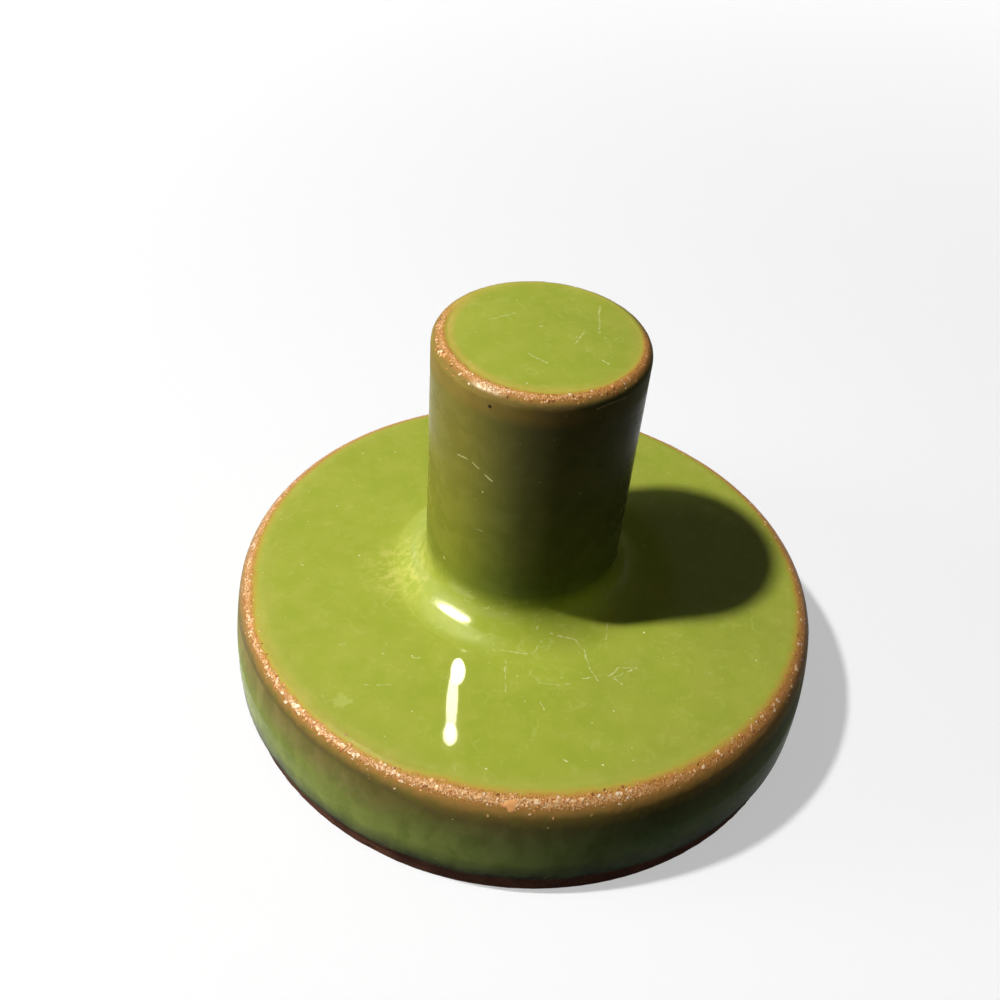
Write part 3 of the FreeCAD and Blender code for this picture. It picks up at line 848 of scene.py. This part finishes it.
    # painted highlight: a pale peach sheen along the crust's crest at the front left
    crest_sheen = s.product(thick, s.rise(roll, 0.28, 0.38), s.rise(roll, 0.56, 0.46, 0, 1),
                      s.rise(grain, 0.62, 0.42))
    body = s.blend(s.product(crest_sheen, 0.75), body, PAINTED_CREST_SHEEN)
    small, small_tone = s.dots(frayed, 0.28, 0.24, 0.46, thick)
    body = s.blend(small, body, s.ramp(s.scaled(small_tone, 0.6, 0.3), SPECK_COLOURS))
    medium, medium_tone = s.dots(frayed, 0.5, 0.2, 0.4, s.product(thick, 0.6))
    body = s.blend(medium, body, s.ramp(s.scaled(medium_tone, 0.55, 0.4), SPECK_COLOURS))
    raised = s.rise(s.calc("ADD", s.value("speck"), s.swing(where, 0.14, 0.25, 2)), 0.18, 0.36)
    raised_tone = s.calc("ADD", s.value("tone"), s.swing(where, 0.3, 0.12, 2))
    raised_tone = s.calc("ADD", raised_tone, s.rise(low_down, 0, 1, -0.1, 0))
    body = s.blend(raised, body, s.ramp(raised_tone, SPECK_COLOURS))
    stray, stray_tone = s.dots(frayed, 0.9, 0.1, 0.2, s.product(rim, s.rise(roll, 0.6, 0.8), 0.3))
    body = s.blend(stray, body, s.ramp(s.scaled(stray_tone, 0.5, 0.4), SPECK_COLOURS))
    crust = s.strongest(rust, small, medium, raised, stray)

    # marks on the flat faces: wisps, more of them round the handle's foot, scratches, and a painted glow of
    # light left of the handle's foot
    flat = s.product(s.opposite(rim), s.opposite(on_side), s.opposite(grip))
    axis = (float(GRIP_AXIS[0]), float(GRIP_AXIS[1]), DISC_TOP)
    to_foot = s.length(where, axis)
    at_foot = s.product(s.rise(to_foot, 19, 13), s.rise(s.lean(where, (-0.3, -0.95, 0)), 2, 9))
    drawn = s.warped(where, 2.4, 0.5)
    long_wisps = s.product(s.wisps(where, 6.0, 0.012), s.rise(s.noise(where, 3, 3), 0.5, 0.66))
    foot_wisps = s.product(s.wisps(s.stretched(flowing, (0.6, 1, 1)), 2.6, 0.03), at_foot,
                           s.rise(s.noise(where, 1.2, 2), 0.48, 0.62))
    hairs = 0.0
    for turn, size, length in HAIRS:
        along = s.stretched(drawn, (length, 1.0, 1.0), turn)
        hair, tone = s.dots(along, size, 0.03, 0.06, s.rise(at_foot, 0, 1, 0.12, 0.4))
        hairs = s.strongest(hairs, s.product(hair, s.rise(tone, 0, 1, 0.3, 1.0)))
    smudges = s.rise(s.noise(flowing, 1.2, 4, 0.65), 0.52, 0.72)
    crooked = s.warped(frayed, 1.1, 0.5)
    scratches = 0.0
    for group, width in ((SCRATCHES, 0.12), (GRIP_SCRATCHES, 0.14)):
        for start, end, plain in group:
            scratches = s.strongest(scratches, s.product(s.stroke(crooked, start, end, width), plain))
    scratches = s.product(scratches, s.rise(s.noise(where, 0.45, 3), 0.36, 0.6, 0.25, 1))
    star = s.rise(s.length(s.warped(where, 0.5, 1.7), STAR_CENTRE), 1.2, 0.6)
    # painted light: a speckled yellow glow on the disc left of the handle's foot
    glow = s.rise(s.length(where, PAINTED_GLOW_CENTRE), 7.0, 2.0)
    glow = s.product(glow, s.rise(s.noise(frayed, 0.9, 3, 0.6), 0.38, 0.68))
    lines = s.strongest(s.product(long_wisps, 0.3), s.product(hairs, 0.55), s.product(foot_wisps, 0.35),
                        s.product(star, 0.55), s.product(smudges, 0.22))
    lines = s.product(lines, flat)
    body = s.blend(s.product(glow, flat, 0.5), body, PAINTED_GLOW)
    body = s.blend(s.product(lines, 0.62), body, MARK)
    body = s.blend(s.product(scratches, flat, 0.42), body, FLECK)

    # chips and a pinhole in the handle's side, and painted reflections, thin pale arcs under both rims
    chips = s.strongest(*(s.stroke(frayed, *chip) for chip in CHIPS))
    body = s.blend(s.product(chips, 0.8), body, CHIPPED)
    # painted reflection: thin pale arcs of mirrored light under the handle's rim and the disc's rim
    pale = s.strongest(*(s.stroke(where, *reflection_arc) for reflection_arc in PAINTED_REFLECTION_ARCS))
    body = s.blend(s.product(pale, 0.75), body, PAINTED_REFLECTION)
    body = s.blend(s.rise(s.length(where, PINHOLE), 0.26, 0.12), body, HOLE)

    # dust
    dust, dust_tone = s.dots(where, 1.0, 0.06, 0.13, 0.26)
    dust = s.product(dust, s.rise(dust_tone, 0, 1, 0.35, 1.0))
    fine_dust, _ = s.dots(s.vector("ADD", where, (3.3, 1.7, 5.1)), 0.6, 0.08, 0.14, 0.16)
    dust = s.strongest(dust, s.product(fine_dust, 0.45))
    for turn, size in FIBRES:
        fibre, _ = s.dots(s.stretched(where, (0.2, 1.0, 1.0), turn), size, 0.03, 0.06, 0.1)
        dust = s.strongest(dust, fibre)
    dust = s.product(dust, s.opposite(s.product(s.strongest(grip, on_side), 0.75)))
    body = s.blend(s.product(dust, 0.75), body, FLECK)

    # mirror strength: full on the flat faces, weak on the upright ones, the rims and the shaded foot
    worn = s.rise(s.length(where, WORN_CENTRE), 5.0, 1.5)
    shine = s.product(s.rise(s.length(where, GRIP_SHINE), 2.6, 0.9), s.rise(z, 43.7, 44.15))
    upright = s.strongest(on_side, grip)
    near_rim = s.product(s.rise(s.value("roll"), -0.15, 0.05), s.value("at_edge"))
    lee = s.product(s.rise(to_foot, 19, 16), s.rise(s.lean(where, (1, -0.3, 0)), -1, 4))
    hollow = s.product(s.rise(to_foot, 12.05, 12.3), s.rise(to_foot, 14.9, 13.8))
    weak = s.product(s.strongest(upright, lee, near_rim, s.product(hollow, 0.5)), s.opposite(shine))
    faint = s.strongest(s.rise(x, -32, 8, 1.13, 1.06), s.product(crust, 1.25))
    gloss = s.add("MapRange", {"Value": weak, "To Min": 1.45, "To Max": faint}).outputs["Result"]
    roughness = s.rise(s.noise(where, 3, 3, 0.6), 0.3, 0.7, 0.045, 0.06)
    roughness = s.scaled(s.product(near_rim, s.rise(shine, 0, 1, 1, 0.3)), 0.24, roughness)
    roughness = s.scaled(s.strongest(lines, dust, scratches), 0.08, roughness)
    roughness = s.scaled(s.strongest(s.product(worn, 0.5), s.rise(above, 1.0, 0.2)), 0.32, roughness)
    roughness = s.scaled(upright, 0.22, roughness)
    roughness = s.scaled(hollow, 0.3, roughness)
    normal = s.bump(s.product(s.noise(where, 1.6, 2, 0.4), 0.003))
    normal = s.bump(s.product(worn, s.noise(where, 0.5, 3, 0.6), 0.02), normal)
    normal = s.bump(s.product(crest, grain, 0.06), normal)
    normal = s.bump(s.product(s.strongest(small, medium, raised, stray), 0.03), normal)
    s.surface(Base_Color=body, Roughness=roughness, IOR=gloss, Normal=normal)
    return material


def clay_material(name, dark, light, grit):
    """Fired clay: matte, with grit and pale crumbs."""
    material, s = new_material(name)
    where = s.millimetres()
    grain = s.noise(where, 0.28, 3, 0.7)
    body = s.blend(s.rise(s.noise(where, 4.0, 4, 0.6), 0.3, 0.7), dark, light)
    body = s.blend(s.rise(grain, 0.45, 0.75, 0, 0.45), body, grit)
    crumbs, _ = s.dots(s.warped(where, 0.4, 0.2), 0.8, 0.12, 0.22, 0.12)
    body = s.blend(s.product(crumbs, 0.55), body, colour(0.600, 0.420, 0.280))
    roughness = s.rise(grain, 0.3, 0.7, 0.72, 0.92)
    height = s.calc("ADD", s.product(grain, 0.06), s.product(s.noise(where, 1.3, 3), 0.1))
    s.surface(Base_Color=body, Roughness=roughness, IOR=1.08, Normal=s.bump(height))
    return material


# Studio: a floor, daylight all round, one soft key lamp and a weak fill. The highlights in the glaze come
# from lamps that only show as reflections, so that they can lie where they do in the photograph.

CAMERA_PLACE = (0.0, -98.261, 107.572)
CAMERA_TARGET = (-4.192, 12.213, 12.8)
CAMERA_LENS = 43.417
CAMERA_LEAN = 4.895

KEY_DIRECTION = (-0.498, -0.153, 0.853)
LAMP_DISTANCE = 800
DAYLIGHT = 0.07
WHITE_ENDS = (21, 31)
HIGHLIGHT_COLOUR = (1.0, 0.93, 0.70)
STREAK_AZIMUTH, STREAK_SPREAD = -92, 120
STREAK_GAP, STREAK_DROP = 0.6, 0.5
FLOOR_RADIUS = 1500
FLOOR_DROP = 0.03
FLOOR_SEGMENTS = 128


def aim(thing, facing, lean=0.0):
    """Points a lamp or the camera in a direction, leaning to one side by an angle in degrees."""
    thing.rotation_mode = "QUATERNION"
    turn = Vector(facing).to_track_quat("-Z", "Y")
    thing.rotation_quaternion = turn @ Quaternion((0, 0, 1), math.radians(lean))


def add_camera():
    """The photograph's viewpoint."""
    data = bpy.data.cameras.new("camera")
    data.lens = CAMERA_LENS
    data.clip_start = 0.01
    camera = new_object("camera", data)
    camera.location = Vector(CAMERA_PLACE) * MM
    aim(camera, Vector(CAMERA_TARGET) * MM - camera.location, CAMERA_LEAN)
    bpy.context.scene.camera = camera


def add_lamp(name, place, facing, size, radiance):
    """An oval lamp of a width and a height, which only shows as a reflection, of that radiance."""
    data = bpy.data.lights.new(name, "AREA")
    data.shape = "ELLIPSE"
    data.size, data.size_y = size[0] * MM, size[1] * MM
    data.color = HIGHLIGHT_COLOUR
    data.energy = radiance * math.pi * math.pi * data.size * data.size_y / 4
    lamp = new_object(name, data)
    lamp.location = Vector(place) * MM
    aim(lamp, facing)
    lamp.visible_diffuse = False
    lamp.visible_camera = False
    return lamp


def add_far_lamp(name, direction, size, radiance, target=(0, 0, 10)):
    """A lamp in a direction from a point of the object, which it faces."""
    away = Vector(direction).normalized()
    return add_lamp(name, Vector(target) + away * LAMP_DISTANCE, -away, size, radiance)


def add_soft_light(name, direction, size, whiteness):
    """A lamp that lights the object and doesn't show as a reflection. It makes a white card that faces it
    as bright as whiteness says, where 1 is full white."""
    area = math.pi * size[0] * size[1] / 4
    lamp = add_far_lamp(name, direction, size, whiteness * math.pi * LAMP_DISTANCE**2 / area)
    lamp.data.color = (1, 1, 1)
    lamp.visible_diffuse = True
    lamp.visible_glossy = False


def add_streak(name, azimuth, height, size, radiance):
    """A small lamp against the handle's side, which the disc's top mirrors. The higher it is, the nearer to
    the camera its mirror image lies."""
    x, y, z = wall_point(azimuth, height)
    place = (x, y - STREAK_GAP, z - STREAK_DROP)
    lamp = add_lamp(name, place, towards(STREAK_AZIMUTH, 0), size, radiance)
    lamp.data.spread = math.radians(STREAK_SPREAD)


def towards(azimuth, elevation):
    """The direction to a place in the sky, both in degrees."""
    a, e = math.radians(azimuth), math.radians(elevation)
    return (math.cos(a) * math.cos(e), math.sin(a) * math.cos(e), math.sin(e))


def seen(shader):
    """1 for what the camera sees straight, mirrored or through glass, and 0 for light on the object."""
    path = shader.add("LightPath", {}).outputs
    return shader.strongest(path["Is Camera Ray"], path["Is Glossy Ray"], path["Is Transmission Ray"])


def add_floor():
    """A pale floor that fades into the white surroundings far away."""
    mesh = bpy.data.meshes.new("floor")
    points = ring_points(FLOOR_RADIUS, -FLOOR_DROP, azimuths(FLOOR_SEGMENTS)) * MM
    mesh.from_pydata(points.tolist(), [], [tuple(range(FLOOR_SEGMENTS))])
    material, s = new_material("pale_floor")
    looked_at = seen(s)
    tint = s.blend(looked_at, colour(0.09, 0.09, 0.09), colour(0.52, 0.52, 0.52))
    diffuse = s.add("BsdfDiffuse", {"Color": tint}).outputs[0]
    away = s.length(s.millimetres(), (0, 0, 0))
    paleness = s.product(looked_at, s.rise(away, 80, 420, 0.46, 0.76))
    pale = s.add("Emission", {"Strength": paleness}).outputs[0]
    lit = s.add("AddShader", {0: diffuse, 1: pale}).outputs[0]
    open_air = s.add("BsdfTransparent", {}).outputs[0]
    fade = s.rise(away, FLOOR_RADIUS * 0.25, FLOOR_RADIUS * 0.95)
    mixed = s.add("MixShader", {0: fade, 1: lit, 2: open_air}).outputs[0]
    s.add("OutputMaterial", {"Surface": mixed})
    mesh.materials.append(material)
    floor = new_object("floor", mesh)


def set_world():
    """White low down, where a low camera sees it, and dim overhead. The white reaches higher at the back
    left than elsewhere. It lights the object evenly."""
    world = bpy.data.worlds.new("surroundings")
    world.use_nodes = True
    bpy.context.scene.world = world
    s = Shader(world.node_tree)
    direction = s.add("TexCoord", {}).outputs["Generated"]
    lowering = s.rise(s.lean(direction, (-0.707, 0.707, 0)), 0.12, 0.34, 0.24, 0)
    height = s.calc("ADD", s.lean(direction, (0, 0, 1)), lowering)
    low, high = (math.sin(math.radians(elevation)) for elevation in WHITE_ENDS)
    overhead = s.rise(height, low, high, 1.0, DAYLIGHT)
    strength = s.add("Mix", {0: seen(s), 2: DAYLIGHT, 3: overhead}).outputs[0]
    light = s.add("Background", {"Color": WHITE, "Strength": strength}).outputs[0]
    s.add("OutputWorld", {"Surface": light})


glaze = glaze_skin()
clay = clay_disc()
glaze.data.materials.append(glaze_material())
terracotta = clay_material("terracotta", colour(0.110, 0.047, 0.030), colour(0.200, 0.088, 0.054),
                           colour(0.060, 0.028, 0.020))
slip = clay_material("slip", colour(0.30, 0.14, 0.09), colour(0.44, 0.22, 0.14), colour(0.2, 0.1, 0.06))
clay.data.materials.append(terracotta)
for node, material in (("handle", terracotta), ("fillet_coil", terracotta), ("slip_joint", slip)):
    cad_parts[node].data.materials.clear()
    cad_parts[node].data.materials.append(material)

add_camera()
add_floor()
set_world()
add_soft_light("key", KEY_DIRECTION, (50, 50), 0.98)
add_soft_light("fill", towards(-168, 14), (400, 300), 0.3)
add_far_lamp("glint", towards(-166, 62), (230, 60), 260, wall_point(-124, 28))
add_far_lamp("window", towards(-151.5, 31), (430, 260), 80, top_point(-8, -9))
add_streak("streak_low", -120.8, 22.35, (1.6, 4.3), 45)
add_streak("streak_middle", -123.6, 28.6, (1.3, 12), 34)
add_streak("streak_high", -123.4, 33.8, (1.6, 3.9), 50)
bpy.context.scene.view_settings.view_transform = "Standard"
